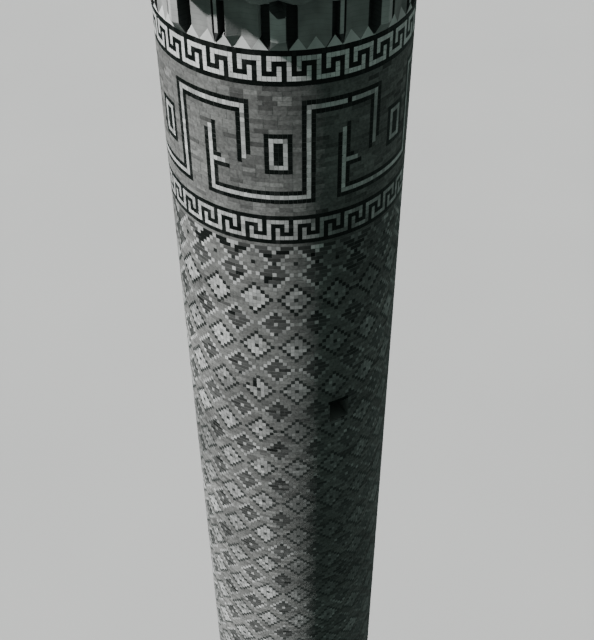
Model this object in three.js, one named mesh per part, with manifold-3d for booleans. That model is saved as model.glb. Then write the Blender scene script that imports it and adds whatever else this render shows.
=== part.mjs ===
// Round brick minaret with a banded, lozenge-patterned shaft, a muqarnas cornice,
// a railed gallery and a domed lantern. Millimetres, +Z up, ground at z = 0,
// origin on the tower's axis. Azimuths are in degrees, from -Y towards +X.

import * as THREE from 'three';
import { mergeVertices } from 'three/addons/utils/BufferGeometryUtils.js';
import Module from 'manifold-3d';

// Brick module: every height of the shaft is counted in courses.
const COURSE = 60;
const BAND_COURSE = 59.4;
const CLOSER_COURSE = 45;

// Plan
const SHAFT_RADIUS = 1536;
const WALL_THICKNESS = 450;
const WELL_RADIUS = SHAFT_RADIUS - WALL_THICKNESS;
const OUTER_FACET = 4;
const INNER_FACET = 12;
const FIT_GAP = 0.3;
const HOLE_REACH = 60;

// Octagonal plinth and its doorway
const PLINTH_APOTHEM = 1950;
const PLINTH_HEIGHT = 2400;
const CAP_OVERHANG = 50;
const CAP_DRIP_HEIGHT = 120;
const CAP_HEIGHT = 300;
const CAP_SHOULDER = 24;
const DOOR_WIDTH = 800;
const DOOR_SPRINGING = 1450;
const DOOR_RISE = 480;
const PLINTH_FACET = 11.25;
const OCTAGON_SIDE = 45;
const OCTAGON_CORNER = 22.5;
const GROUND_FLOOR_THICKNESS = 80;

// Shaft: 295 courses of lozenge field under the datum row, 14 and a closer above it
const SHAFT_FOOT = PLINTH_HEIGHT + CAP_HEIGHT;
const FIELD_COURSES = 295;
const DATUM = SHAFT_FOOT + (FIELD_COURSES + 0.5) * COURSE;
const SHAFT_TOP = DATUM + 14.5 * COURSE + CLOSER_COURSE;
const LIFT_JOINT_COURSE = 140;
const LIFT_JOINT = DATUM - (LIFT_JOINT_COURSE + 0.5) * COURSE;
const SEGMENT_COUNT = 6;
const SEGMENT_START = -15;

// Stair lights: azimuth of the centre, and the course it is centred on
const LIGHT_WIDTH = 300;
const LIGHT_HEIGHT = 6.4 * COURSE;
const STAIR_LIGHTS = [
  { azimuth: 27, course: 37.4 },
  { azimuth: 180, course: 84 },
  { azimuth: 270, course: 126 },
  { azimuth: 0, course: 176 },
  { azimuth: 90, course: 222 },
];

// The three bands under the cornice
const NARROW_BAND_COURSES = 7;
const BROAD_BAND_COURSES = 29;
const LOWER_BAND_FOOT = SHAFT_TOP;
const BROAD_BAND_FOOT = LOWER_BAND_FOOT + NARROW_BAND_COURSES * BAND_COURSE;
const UPPER_BAND_FOOT = BROAD_BAND_FOOT + BROAD_BAND_COURSES * BAND_COURSE;
const CORNICE_FOOT = UPPER_BAND_FOOT + NARROW_BAND_COURSES * BAND_COURSE;

// Muqarnas cornice: a folded first tier, then three tiers of pointed niches
const FIRST_PIER_AZIMUTH = -2.4;
const FOOT_TRIANGLES = 48;
const FOOT_TRIANGLE_HEIGHT = 140;
const FIRST_TIER_HEIGHT = 556;
const NOTCH_HEIGHT = 150;
const FOLD_RIDGE = 1636;
const FOLD_EDGE = 1606;
const PANEL_EDGE = 1544;
const PANEL_VALLEY = 1512;
const PANEL_HORN = 1590;
const RECESS = 1446;
const FIN = 1560;
const TOOTH = 1530;
const TOOTH_BACK = 12;
const corbel = (rise) => Math.sin((rise * Math.PI) / 2);
const cove = (rise) => 1 - Math.cos((rise * Math.PI) / 2);
const NICHE_TIERS = [
  { height: 620, footRadius: 1640, headRadius: 2020, lean: corbel, firstNiche: 0 },
  { height: 660, footRadius: 2020, headRadius: 2145, lean: cove, firstNiche: 7.5 },
  { height: 680, footRadius: 2145, headRadius: 2270, lean: cove, firstNiche: 0 },
];
const NICHES_PER_TIER = 24;

// Gallery
const FLOOR_RADIUS = 2330;
const FLOOR_THICKNESS = 210;
const STAIRWELL_RADIUS = 700;
const PARAPET_OUTER = 2290;
const PARAPET_INNER = 2180;
const PARAPET_HEIGHT = 960;
const PARAPET_PANELS = 6;
const LANCETS_PER_PANEL = 5;
const LANCET_WIDTH = 200;
const LANCET_SILL = 180;
const LANCET_SPRINGING = 420;
const LANCET_RISE = 150;
const COPING_HEIGHT = 60;
const COPING_OVERHANG = 20;

// Lantern
const LANTERN_OUTER = 1240;
const LANTERN_INNER = 980;
const LANTERN_HEIGHT = 2450;
const LANTERN_DOOR_WIDTH = 640;
const LANTERN_DOOR_SPRINGING = 1400;
const LANTERN_DOOR_RISE = 400;
const LANTERN_WINDOW_WIDTH = 420;
const LANTERN_WINDOW_SILL = 800;
const LANTERN_WINDOW_SPRINGING = 750;
const LANTERN_WINDOW_RISE = 290;
const LANTERN_CORNICE_STEPS = [
  { height: 90, radius: 1285 },
  { height: 90, radius: 1340 },
  { height: 110, radius: 1400 },
];
const DOME_CENTRE_OFFSET = 400;
const DOME_THICKNESS = 110;
const DOME_STEPS = 9;
const DOME_SIDES = 36;
const FINIAL_SEAT = 60;
const FINIAL_SIDES = 16;

const wasm = await Module();
wasm.setup();

const group = new THREE.Group();
group.name = 'minaret';

function material(color, roughness, metalness = 0) {
  return new THREE.MeshStandardMaterial({ color, roughness, metalness });
}

const brick = material(0xa7a6a3, 0.9);
const stone = material(0x9e9d9a, 0.85);
const stucco = material(0xa3a29f, 0.85);
const bandTile = material(0x2b2c30, 0.45);
const domeTile = material(0x5f7f86, 0.35);
const brass = material(0xb08d4a, 0.4, 0.9);

function addPiece(name, geometry, finish, height = 0) {
  const mesh = new THREE.Mesh(geometry, finish);
  mesh.name = name;
  mesh.position.z = height;
  group.add(mesh);
}

// Plan helpers: a point at an azimuth and radius, and a row of them along an arc

function planPoint(azimuth, radius) {
  const angle = THREE.MathUtils.degToRad(azimuth);
  return new THREE.Vector2(radius * Math.sin(angle), -radius * Math.cos(angle));
}

function arcPoints(radius, from, to, facet) {
  const steps = Math.max(1, Math.round((to - from) / facet));
  const points = [];
  for (let i = 0; i <= steps; i += 1) {
    points.push(planPoint(from + ((to - from) * i) / steps, radius));
  }
  return points;
}

function extrudePlan(points, height) {
  const shape = new THREE.Shape(points);
  return new THREE.ExtrudeGeometry(shape, { depth: height, bevelEnabled: false });
}

function arcWall(inner, outer, from, to, height) {
  const outside = arcPoints(outer, from, to, OUTER_FACET);
  const inside = arcPoints(inner, from, to, INNER_FACET);
  return extrudePlan([...outside, ...inside.reverse()], height);
}

// Booleans: a geometry as a solid, and a solid as a geometry

function toSolid(geometry) {
  const bare = geometry.clone();
  bare.deleteAttribute('normal');
  bare.deleteAttribute('uv');
  const merged = mergeVertices(bare);
  return new wasm.Manifold(new wasm.Mesh({
    numProp: 3,
    vertProperties: merged.attributes.position.array,
    triVerts: new Uint32Array(merged.index.array),
  }));
}

function toGeometry(solid) {
  const mesh = solid.getMesh();
  const geometry = new THREE.BufferGeometry();
  geometry.setAttribute('position', new THREE.BufferAttribute(mesh.vertProperties, 3));
  geometry.setIndex(new THREE.BufferAttribute(mesh.triVerts, 1));
  const flat = geometry.toNonIndexed();
  flat.computeVertexNormals();
  return flat;
}

function cut(geometry, cutters) {
  let solid = toSolid(geometry);
  for (const cutter of cutters) {
    solid = solid.subtract(toSolid(cutter));
  }
  return toGeometry(solid);
}

// A straight or pointed hole through a wall, cut along the radius at an azimuth

function holeOutline(width, springing, rise) {
  const half = width / 2;
  const outline = new THREE.Shape();
  outline.moveTo(-half, 0);
  outline.lineTo(half, 0);
  outline.lineTo(half, springing);
  if (rise > 0) {
    const offset = (rise * rise - half * half) / width;
    const radius = half + offset;
    const sweep = Math.atan2(rise, offset);
    outline.absarc(-offset, springing, radius, 0, sweep, false);
    outline.absarc(offset, springing, radius, Math.PI - sweep, Math.PI, false);
  } else {
    outline.lineTo(-half, springing);
  }
  return outline;
}

function wallHole(outline, azimuth, inner, outer, sill) {
  const depth = outer - inner + 2 * HOLE_REACH;
  const hole = new THREE.ExtrudeGeometry(outline, { depth, bevelEnabled: false, curveSegments: 4 });
  hole.rotateX(Math.PI / 2);
  hole.translate(0, -(inner - HOLE_REACH), sill);
  hole.rotateZ(THREE.MathUtils.degToRad(azimuth));
  return hole;
}

// Rings: each level is a height and a list of { azimuth, radius } going once round.
// Two levels with the same count join point to point, others like a zip, by azimuth.

function circle(radius, facet, start = 0) {
  const count = Math.round(360 / facet);
  const points = [];
  for (let i = 0; i < count; i += 1) {
    points.push({ azimuth: start + (360 * i) / count, radius });
  }
  return points;
}

function ringSolid(outerLevels, innerLevels) {
  const positions = [];
  const triangles = [];

  function lay({ z, points }) {
    return points.map(({ azimuth, radius }) => {
      const { x, y } = planPoint(azimuth, radius);
      positions.push(x, y, z);
      return { index: positions.length / 3 - 1, azimuth };
    });
  }

  function triangle(a, b, c, flip) {
    triangles.push(a.index, flip ? c.index : b.index, flip ? b.index : c.index);
  }

  // Joins two rows; seen with the first row below, the faces point outwards.
  function join(first, second, flip) {
    const paired = first.length === second.length;
    let i = 0;
    let j = 0;
    const next = (row, k) => row[(k + 1) % row.length];
    const turn = (row, k) => next(row, k).azimuth + (k + 1 >= row.length ? 360 : 0);
    while (i < first.length || j < second.length) {
      const middleFirst = i < first.length ? (first[i].azimuth + turn(first, i)) / 2 : Infinity;
      const middleSecond = j < second.length ? (second[j].azimuth + turn(second, j)) / 2 : Infinity;
      const a = first[i % first.length];
      const b = second[j % second.length];
      const advanceFirst = paired ? i <= j : middleFirst <= middleSecond;
      if (advanceFirst) {
        triangle(a, next(first, i % first.length), b, flip);
        i += 1;
      } else {
        triangle(a, next(second, j % second.length), b, flip);
        j += 1;
      }
    }
  }

  const outer = outerLevels.map(lay);
  const inner = innerLevels.map(lay);
  for (let k = 0; k + 1 < outer.length; k += 1) {
    join(outer[k], outer[k + 1], false);
  }
  for (let k = 0; k + 1 < inner.length; k += 1) {
    join(inner[k], inner[k + 1], true);
  }
  join(inner[0], outer[0], false);
  join(outer[outer.length - 1], inner[inner.length - 1], false);

  const geometry = new THREE.BufferGeometry();
  geometry.setAttribute('position', new THREE.Float32BufferAttribute(positions, 3));
  geometry.setIndex(triangles);
  const flat = geometry.toNonIndexed();
  flat.computeVertexNormals();
  return flat;
}

function plainRing(inner, outer, height) {
  const outside = circle(outer, OUTER_FACET);
  const inside = circle(inner, INNER_FACET);
  return ringSolid(
    [{ z: 0, points: outside }, { z: height, points: outside }],
    [{ z: 0, points: inside }, { z: height, points: inside }],
  );
}

// Plinth: octagon with a face to the front, split beside and over the doorway

function octagonRadius(apothem, azimuth) {
  const turned = (azimuth + OCTAGON_CORNER + 360) % OCTAGON_SIDE;
  const fromFace = turned - OCTAGON_CORNER;
  return apothem / Math.cos(THREE.MathUtils.degToRad(fromFace));
}

function octagonPoint(azimuth) {
  return planPoint(azimuth, octagonRadius(PLINTH_APOTHEM, azimuth));
}

function plinthWall(from, to) {
  const outside = [octagonPoint(from)];
  for (let corner = OCTAGON_CORNER; corner < to; corner += OCTAGON_SIDE) {
    if (corner > from) {
      outside.push(octagonPoint(corner));
    }
  }
  outside.push(octagonPoint(to));
  const inside = arcPoints(WELL_RADIUS, from, to, PLINTH_FACET);
  return extrudePlan([...outside, ...inside.reverse()], PLINTH_HEIGHT);
}

function doorInnerPoints() {
  const reveal = THREE.MathUtils.radToDeg(Math.asin(DOOR_WIDTH / 2 / WELL_RADIUS));
  return { reveal, across: arcPoints(WELL_RADIUS, -reveal, reveal, INNER_FACET) };
}

function doorJamb(side) {
  const { reveal } = doorInnerPoints();
  const points = [
    octagonPoint(OCTAGON_CORNER),
    new THREE.Vector2(DOOR_WIDTH / 2, -PLINTH_APOTHEM),
    planPoint(reveal, WELL_RADIUS),
    planPoint(OCTAGON_CORNER, WELL_RADIUS),
  ];
  return extrudePlan(points.map(({ x, y }) => new THREE.Vector2(side * x, y)), PLINTH_HEIGHT);
}

function doorHead() {
  const { across } = doorInnerPoints();
  const half = DOOR_WIDTH / 2;
  const front = [
    new THREE.Vector2(-half, -PLINTH_APOTHEM),
    new THREE.Vector2(half, -PLINTH_APOTHEM),
  ];
  const block = extrudePlan([...front, ...across.reverse()], PLINTH_HEIGHT - DOOR_SPRINGING);
  const arch = holeOutline(DOOR_WIDTH, FIT_GAP, DOOR_RISE);
  const hole = wallHole(arch, 0, WELL_RADIUS / 2, PLINTH_APOTHEM, -FIT_GAP);
  return cut(block, [hole]);
}

addPiece('plinth_wall_right_front', plinthWall(OCTAGON_CORNER, 90), brick);
addPiece('plinth_wall_right_rear', plinthWall(90, 180), brick);
addPiece('plinth_wall_left_rear', plinthWall(180, 270), brick);
addPiece('plinth_wall_left_front', plinthWall(270, 360 - OCTAGON_CORNER), brick);
addPiece('door_jamb_right', doorJamb(1), brick);
addPiece('door_jamb_left', doorJamb(-1), brick);
addPiece('door_head', doorHead(), brick, DOOR_SPRINGING);

const floorRim = arcPoints(WELL_RADIUS - FIT_GAP, PLINTH_FACET, 360, PLINTH_FACET);
addPiece('ground_floor', extrudePlan(floorRim, GROUND_FLOOR_THICKNESS), stone);

function plinthCap() {
  const eaves = circle(1, OCTAGON_SIDE, OCTAGON_CORNER).map(({ azimuth }) => ({
    azimuth,
    radius: octagonRadius(PLINTH_APOTHEM + CAP_OVERHANG, azimuth),
  }));
  const shoulder = circle(SHAFT_RADIUS + CAP_SHOULDER, OUTER_FACET);
  const well = circle(WELL_RADIUS, INNER_FACET);
  return ringSolid(
    [
      { z: 0, points: eaves },
      { z: CAP_DRIP_HEIGHT, points: eaves },
      { z: CAP_HEIGHT, points: shoulder },
    ],
    [{ z: 0, points: well }, { z: CAP_HEIGHT, points: well }],
  );
}

addPiece('plinth_cap', plinthCap(), stone, PLINTH_HEIGHT);

// Shaft: two lifts of six curved wall segments, some pierced by a stair light

function shaftSegment(from, to, foot, head) {
  const wall = arcWall(WELL_RADIUS, SHAFT_RADIUS, from, to, head - foot);
  const outline = holeOutline(LIGHT_WIDTH, LIGHT_HEIGHT, 0);
  const holes = [];
  for (const { azimuth, course } of STAIR_LIGHTS) {
    const sill = DATUM - course * COURSE - LIGHT_HEIGHT / 2;
    const turned = azimuth > SEGMENT_START + 360 ? azimuth - 360 : azimuth;
    if (turned > from && turned < to && sill > foot && sill < head) {
      holes.push(wallHole(outline, turned, WELL_RADIUS, SHAFT_RADIUS, sill - foot));
    }
  }
  return holes.length > 0 ? cut(wall, holes) : wall;
}

const segmentSweep = 360 / SEGMENT_COUNT;
const lifts = [
  { name: 'shaft_lower', foot: SHAFT_FOOT, head: LIFT_JOINT },
  { name: 'shaft_upper', foot: LIFT_JOINT, head: SHAFT_TOP },
];
for (const { name, foot, head } of lifts) {
  for (let k = 0; k < SEGMENT_COUNT; k += 1) {
    const from = SEGMENT_START + k * segmentSweep;
    addPiece(`${name}_${k + 1}`, shaftSegment(from, from + segmentSweep, foot, head), brick, foot);
  }
}

// Bands

function bandRing(courses) {
  return plainRing(WELL_RADIUS, SHAFT_RADIUS, courses * BAND_COURSE);
}

addPiece('lower_fret_band', bandRing(NARROW_BAND_COURSES), bandTile, LOWER_BAND_FOOT);
addPiece('broad_fret_band', bandRing(BROAD_BAND_COURSES), brick, BROAD_BAND_FOOT);
addPiece('upper_fret_band', bandRing(NARROW_BAND_COURSES), bandTile, UPPER_BAND_FOOT);

// First cornice tier: eight folded piers with two panels, slots and a fin between each
// pair, mirrored about every pier. Upright foot triangles stand under the panels' edges
// and valleys, and one stands free in the slot by the fin. Towards the head each pier is
// notched back, and the slots beside it close from their far side.

const BAY = [
  [0, FOLD_RIDGE],
  [3, FOLD_EDGE],
  [3.2, RECESS],
  [7.3, RECESS],
  [7.5, PANEL_EDGE],
  [15, PANEL_VALLEY],
  [20.5, PANEL_HORN],
  [20.7, RECESS],
  [21.6, RECESS],
  [22.5, TOOTH],
  [23.4, RECESS],
  [23.9, RECESS],
  [24.1, FIN],
  [25.9, FIN],
  [26.1, RECESS],
  [26.8, RECESS],
  [27, PANEL_EDGE],
  [30, PANEL_VALLEY],
  [37.5, PANEL_EDGE],
  [37.7, RECESS],
  [41.8, RECESS],
  [42, FOLD_EDGE],
  [45, FOLD_RIDGE],
];

const PIER_SLOT_ENDS = [7.3, 37.7];

function foldedOutline({ tooth = RECESS, notch = 0, slotEnd = RECESS }) {
  const bay = BAY.map(([offset, radius]) => {
    if (radius === FOLD_RIDGE) return [offset, radius - notch * (FOLD_RIDGE - RECESS)];
    if (radius === TOOTH) return [offset, tooth];
    return [offset, PIER_SLOT_ENDS.includes(offset) ? slotEnd : radius];
  });
  const mirrored = bay.slice(1, -1).reverse().map(([offset, radius]) => [90 - offset, radius]);
  const points = [];
  for (let turn = 0; turn < 360; turn += 90) {
    for (const [offset, radius] of [...bay, ...mirrored]) {
      points.push({ azimuth: FIRST_PIER_AZIMUTH + turn + offset, radius });
    }
  }
  return points;
}

function firstTier() {
  const pitch = 360 / FOOT_TRIANGLES;
  const foot = circle(SHAFT_RADIUS, pitch, FIRST_PIER_AZIMUTH + pitch / 2);
  const well = circle(WELL_RADIUS, INNER_FACET);
  return ringSolid(
    [
      { z: 0, points: foot },
      { z: FOOT_TRIANGLE_HEIGHT, points: foldedOutline({ tooth: TOOTH }) },
      { z: FOOT_TRIANGLE_HEIGHT + TOOTH_BACK, points: foldedOutline({}) },
      { z: FIRST_TIER_HEIGHT - NOTCH_HEIGHT, points: foldedOutline({}) },
      { z: FIRST_TIER_HEIGHT - NOTCH_HEIGHT / 2, points: foldedOutline({ notch: 0.5 }) },
      { z: FIRST_TIER_HEIGHT, points: foldedOutline({ notch: 1, slotEnd: PANEL_EDGE }) },
    ],
    [{ z: 0, points: well }, { z: FIRST_TIER_HEIGHT, points: well }],
  );
}

addPiece('muqarnas_tier_1', firstTier(), stucco, CORNICE_FOOT);

// Niche tiers: at each level the front radius, the niche's half width in degrees and
// its depth. The lowest leans out fast like a corbel and shades the first tier, the
// others lean out like coves, and each niche closes to a point.

const NICHE_LEVELS = [
  { rise: 0, halfWidth: 5.6, depth: 110 },
  { rise: 0.35, halfWidth: 5.6, depth: 130 },
  { rise: 0.68, halfWidth: 3.7, depth: 95 },
  { rise: 0.88, halfWidth: 0.4, depth: 4 },
  { rise: 1, halfWidth: 5.6, depth: 0 },
];

function nicheTier({ height, footRadius, headRadius, lean, firstNiche }) {
  const pitch = 360 / NICHES_PER_TIER;
  const levels = NICHE_LEVELS.map(({ rise, halfWidth, depth }) => {
    const front = footRadius + (headRadius - footRadius) * lean(rise);
    const points = [];
    for (let k = 0; k < NICHES_PER_TIER; k += 1) {
      const centre = FIRST_PIER_AZIMUTH + firstNiche + pitch * k;
      points.push({ azimuth: centre - pitch / 2, radius: front });
      points.push({ azimuth: centre - halfWidth, radius: front });
      points.push({ azimuth: centre, radius: front - depth });
      points.push({ azimuth: centre + halfWidth, radius: front });
    }
    return { z: rise * height, points };
  });
  const well = circle(WELL_RADIUS, INNER_FACET);
  return ringSolid(levels, [{ z: 0, points: well }, { z: height, points: well }]);
}

let corniceHeight = CORNICE_FOOT + FIRST_TIER_HEIGHT;
NICHE_TIERS.forEach((tier, index) => {
  addPiece(`muqarnas_tier_${index + 2}`, nicheTier(tier), stucco, corniceHeight);
  corniceHeight += tier.height;
});

// Gallery floor with the stairwell, parapet panels with lancets, and their coping

const GALLERY = corniceHeight + FLOOR_THICKNESS;
const galleryFloor = plainRing(STAIRWELL_RADIUS, FLOOR_RADIUS, FLOOR_THICKNESS);
addPiece('gallery_floor', galleryFloor, stone, corniceHeight);

function parapetPanel(from, to) {
  const wall = arcWall(PARAPET_INNER, PARAPET_OUTER, from, to, PARAPET_HEIGHT);
  const lancet = holeOutline(LANCET_WIDTH, LANCET_SPRINGING, LANCET_RISE);
  const pitch = (to - from) / LANCETS_PER_PANEL;
  const holes = [];
  for (let k = 0; k < LANCETS_PER_PANEL; k += 1) {
    const azimuth = from + (k + 0.5) * pitch;
    holes.push(wallHole(lancet, azimuth, PARAPET_INNER, PARAPET_OUTER, LANCET_SILL));
  }
  return cut(wall, holes);
}

for (let k = 0; k < PARAPET_PANELS; k += 1) {
  const sweep = 360 / PARAPET_PANELS;
  addPiece(`parapet_${k + 1}`, parapetPanel(k * sweep, (k + 1) * sweep), brick, GALLERY);
}
addPiece(
  'parapet_coping',
  plainRing(PARAPET_INNER - COPING_OVERHANG, PARAPET_OUTER + COPING_OVERHANG, COPING_HEIGHT),
  stone,
  GALLERY + PARAPET_HEIGHT,
);

// Lantern: a round drum, pierced by three windows and split beside and over its door

const LANTERN_QUARTER = 45;

function lanternWall(centre) {
  const from = centre - LANTERN_QUARTER;
  const to = centre + LANTERN_QUARTER;
  const wall = arcWall(LANTERN_INNER, LANTERN_OUTER, from, to, LANTERN_HEIGHT);
  const outline = holeOutline(LANTERN_WINDOW_WIDTH, LANTERN_WINDOW_SPRINGING, LANTERN_WINDOW_RISE);
  const hole = wallHole(outline, centre, LANTERN_INNER, LANTERN_OUTER, LANTERN_WINDOW_SILL);
  return cut(wall, [hole]);
}

const doorReveal = THREE.MathUtils.radToDeg(Math.asin(LANTERN_DOOR_WIDTH / 2 / LANTERN_OUTER));
const doorBackReveal = THREE.MathUtils.radToDeg(Math.asin(LANTERN_DOOR_WIDTH / 2 / LANTERN_INNER));

function lanternDoorJamb(side) {
  const outside = arcPoints(LANTERN_OUTER, doorReveal, LANTERN_QUARTER, OUTER_FACET);
  const inside = arcPoints(LANTERN_INNER, doorBackReveal, LANTERN_QUARTER, INNER_FACET);
  const plan = [...outside, ...inside.reverse()];
  return extrudePlan(plan.map(({ x, y }) => new THREE.Vector2(-side * x, -y)), LANTERN_HEIGHT);
}

function lanternDoorHead() {
  const outside = arcPoints(LANTERN_OUTER, 180 - doorReveal, 180 + doorReveal, OUTER_FACET);
  const inside = arcPoints(LANTERN_INNER, 180 - doorBackReveal, 180 + doorBackReveal, INNER_FACET);
  const height = LANTERN_HEIGHT - LANTERN_DOOR_SPRINGING;
  const block = extrudePlan([...outside, ...inside.reverse()], height);
  const arch = holeOutline(LANTERN_DOOR_WIDTH, FIT_GAP, LANTERN_DOOR_RISE);
  return cut(block, [wallHole(arch, 180, LANTERN_INNER, LANTERN_OUTER, -FIT_GAP)]);
}

addPiece('lantern_wall_front', lanternWall(0), brick, GALLERY);
addPiece('lantern_wall_right', lanternWall(90), brick, GALLERY);
addPiece('lantern_wall_left', lanternWall(270), brick, GALLERY);
addPiece('lantern_door_jamb_right', lanternDoorJamb(-1), brick, GALLERY);
addPiece('lantern_door_jamb_left', lanternDoorJamb(1), brick, GALLERY);
addPiece('lantern_door_head', lanternDoorHead(), brick, GALLERY + LANTERN_DOOR_SPRINGING);

function lanternCornice() {
  const levels = [];
  let z = 0;
  for (const { height, radius } of LANTERN_CORNICE_STEPS) {
    levels.push({ z, points: circle(radius, OUTER_FACET) });
    z += height;
    levels.push({ z, points: circle(radius, OUTER_FACET) });
  }
  const inside = circle(LANTERN_INNER, INNER_FACET);
  return { geometry: ringSolid(levels, [{ z: 0, points: inside }, { z, points: inside }]), height: z };
}

const cornice = lanternCornice();
const DOME_FOOT = GALLERY + LANTERN_HEIGHT + cornice.height;
addPiece('lantern_cornice', cornice.geometry, brick, GALLERY + LANTERN_HEIGHT);

// Dome: a shell between two pointed arcs struck from beyond the axis

function domeArc(radius, lastRadius) {
  const top = Math.acos((DOME_CENTRE_OFFSET + lastRadius) / radius);
  const points = [];
  for (let i = 0; i <= DOME_STEPS; i += 1) {
    const angle = (top * i) / DOME_STEPS;
    const r = radius * Math.cos(angle) - DOME_CENTRE_OFFSET;
    points.push(new THREE.Vector2(Math.max(r, 0), radius * Math.sin(angle)));
  }
  return points;
}

const outerArcRadius = LANTERN_OUTER + DOME_CENTRE_OFFSET;
const outerDome = domeArc(outerArcRadius, FINIAL_SEAT);
const innerDome = domeArc(outerArcRadius - DOME_THICKNESS, 0);
const domeTop = outerDome[DOME_STEPS].y;
const domeProfile = [
  ...innerDome.reverse(),
  ...outerDome,
  new THREE.Vector2(0, domeTop),
];

function turned(profile, sides) {
  const lathe = new THREE.LatheGeometry(profile, sides);
  lathe.rotateX(Math.PI / 2);
  return toGeometry(toSolid(lathe));
}

addPiece('lantern_dome', turned(domeProfile, DOME_SIDES), domeTile, DOME_FOOT);

// Finial: a rod with three balls and a spike

function finialProfile() {
  const rod = 22;
  const balls = [
    { centre: 170, radius: 110 },
    { centre: 400, radius: 80 },
    { centre: 580, radius: 55 },
  ];
  const spikeTop = 900;
  const steps = 6;
  const profile = [
    new THREE.Vector2(0, 0),
    new THREE.Vector2(FINIAL_SEAT, 0),
    new THREE.Vector2(rod, 30),
  ];
  for (const { centre, radius } of balls) {
    const pole = Math.asin(rod / radius);
    for (let i = 0; i <= steps; i += 1) {
      const angle = pole + ((Math.PI - 2 * pole) * i) / steps;
      profile.push(new THREE.Vector2(
        radius * Math.sin(angle),
        centre - radius * Math.cos(angle),
      ));
    }
  }
  profile.push(new THREE.Vector2(0, spikeTop));
  return profile;
}

addPiece('finial', turned(finialProfile(), FINIAL_SIDES), brass, DOME_FOOT + domeTop);

export default group;
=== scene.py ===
# A round brick minaret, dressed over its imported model. Metres, ground at z = 0, the tower's
# axis at the origin. Azimuths are in degrees from the front, -Y, towards the right, +X.
import math
import random

import bmesh
import bpy
import numpy as np
from mathutils import Matrix, Vector, noise


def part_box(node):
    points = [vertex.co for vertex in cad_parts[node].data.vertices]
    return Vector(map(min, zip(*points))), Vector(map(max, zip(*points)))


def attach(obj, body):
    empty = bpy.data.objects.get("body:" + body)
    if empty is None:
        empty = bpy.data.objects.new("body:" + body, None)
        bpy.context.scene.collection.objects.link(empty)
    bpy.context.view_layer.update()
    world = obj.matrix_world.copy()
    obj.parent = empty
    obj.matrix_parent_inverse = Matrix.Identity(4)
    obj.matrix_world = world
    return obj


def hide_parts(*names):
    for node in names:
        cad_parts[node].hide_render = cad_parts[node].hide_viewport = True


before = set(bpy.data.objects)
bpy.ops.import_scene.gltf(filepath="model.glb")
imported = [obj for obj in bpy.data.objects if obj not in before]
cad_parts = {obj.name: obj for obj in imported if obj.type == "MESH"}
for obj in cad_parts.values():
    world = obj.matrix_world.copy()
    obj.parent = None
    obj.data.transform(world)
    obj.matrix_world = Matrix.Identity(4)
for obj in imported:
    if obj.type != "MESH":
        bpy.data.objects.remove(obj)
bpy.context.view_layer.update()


# Viewpoint. The picture was taken about level with this tower's gallery, looking steeply down.
# The stand point, the lens and the slight tilt were worked out from the brickwork.
stand_point = Vector((0.0, -11.2994, 28.9766))
pitch, yaw, roll = math.radians(42.29), math.radians(0.60), math.radians(-0.475)
ahead = Vector((
    math.sin(yaw) * math.cos(pitch),
    math.cos(yaw) * math.cos(pitch),
    -math.sin(pitch),
))
level = Vector((math.cos(yaw), -math.sin(yaw), 0.0))
over = level.cross(ahead)
camera_right = level * math.cos(roll) + over * math.sin(roll)
camera_up = over * math.cos(roll) - level * math.sin(roll)
camera_turn = Matrix((camera_right, camera_up, -ahead)).transposed()
camera_data = bpy.data.cameras.new("camera")
camera_data.sensor_width = 36.0
camera_data.lens = 57.2
camera_data.clip_end = 500.0
camera = bpy.data.objects.new("camera", camera_data)
camera.matrix_world = Matrix.Translation(stand_point) @ camera_turn.to_4x4()
bpy.context.collection.objects.link(camera)
bpy.context.scene.camera = camera


# Floor and light. A plain pale studio floor and backdrop, a key light high on the left, a faint
# broad light from the right, a third from the rear, and a dim even surround that fills the shade.
FLOOR_HALF, FLOOR_PATCH = 160.0, 9.0
FLOOR_DARK, FLOOR_PALE = (0.42, 0.42, 0.415), (0.47, 0.47, 0.46)
BACKDROP_RADIUS, BACKDROP_GLOW = 155.0, (0.70, 0.70, 0.69)
SURROUND_COLOUR, SURROUND_STRENGTH = (0.73, 1.0, 0.895), 0.135
LAMPS = {  # azimuth, elevation, strength, softness
    "key_light": (-75.0, 50.0, 6.0, 3.0),
    "side_light": (120.0, 30.0, 0.42, 40.0),
    "rear_light": (178.0, 30.0, 1.3, 20.0),
}


def new_finish(name):
    """A new material with its shader, and the piece's own coordinates to place patterns by."""
    finish = bpy.data.materials.new(name)
    finish.use_nodes = True
    nodes = finish.node_tree.nodes
    return finish, nodes["Principled BSDF"], nodes.new("ShaderNodeTexCoord").outputs["Object"]


def add_node(socket, kind):
    """A new node in the material that a socket belongs to."""
    return socket.id_data.nodes.new("ShaderNode" + kind)


def feed(socket, value):
    """Sets a socket to a number or colour, or links it to another node's output."""
    if isinstance(value, bpy.types.NodeSocket):
        socket.id_data.links.new(value, socket)
    elif isinstance(value, tuple) and len(value) == 3:
        socket.default_value = (*value, 1.0)
    else:
        socket.default_value = value


def surface(shader, colour, roughness):
    """Gives a material its colour and roughness."""
    feed(shader.inputs["Base Color"], colour)
    feed(shader.inputs["Roughness"], roughness)


def speckle(place, size, detail=3.0, stretch=(1.0, 1.0, 1.0)):
    """Noise from 0 to 1 with spots of about the given size."""
    mapping = add_node(place, "Mapping")
    mapping.inputs["Scale"].default_value = stretch
    feed(mapping.inputs["Vector"], place)
    spots = add_node(place, "TexNoise")
    spots.inputs["Scale"].default_value = 1.0 / size
    spots.inputs["Detail"].default_value = detail
    feed(spots.inputs["Vector"], mapping.outputs["Vector"])
    return spots.outputs["Fac"]


def tint(share, first, second, how="MIX"):
    """Mixes two colours by a share."""
    mixer = add_node(first if how == "MULTIPLY" else share, "Mix")
    mixer.data_type = "RGBA"
    mixer.blend_type = how
    for number, value in ((0, share), (6, first), (7, second)):
        feed(mixer.inputs[number], value)
    return mixer.outputs[2]


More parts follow.
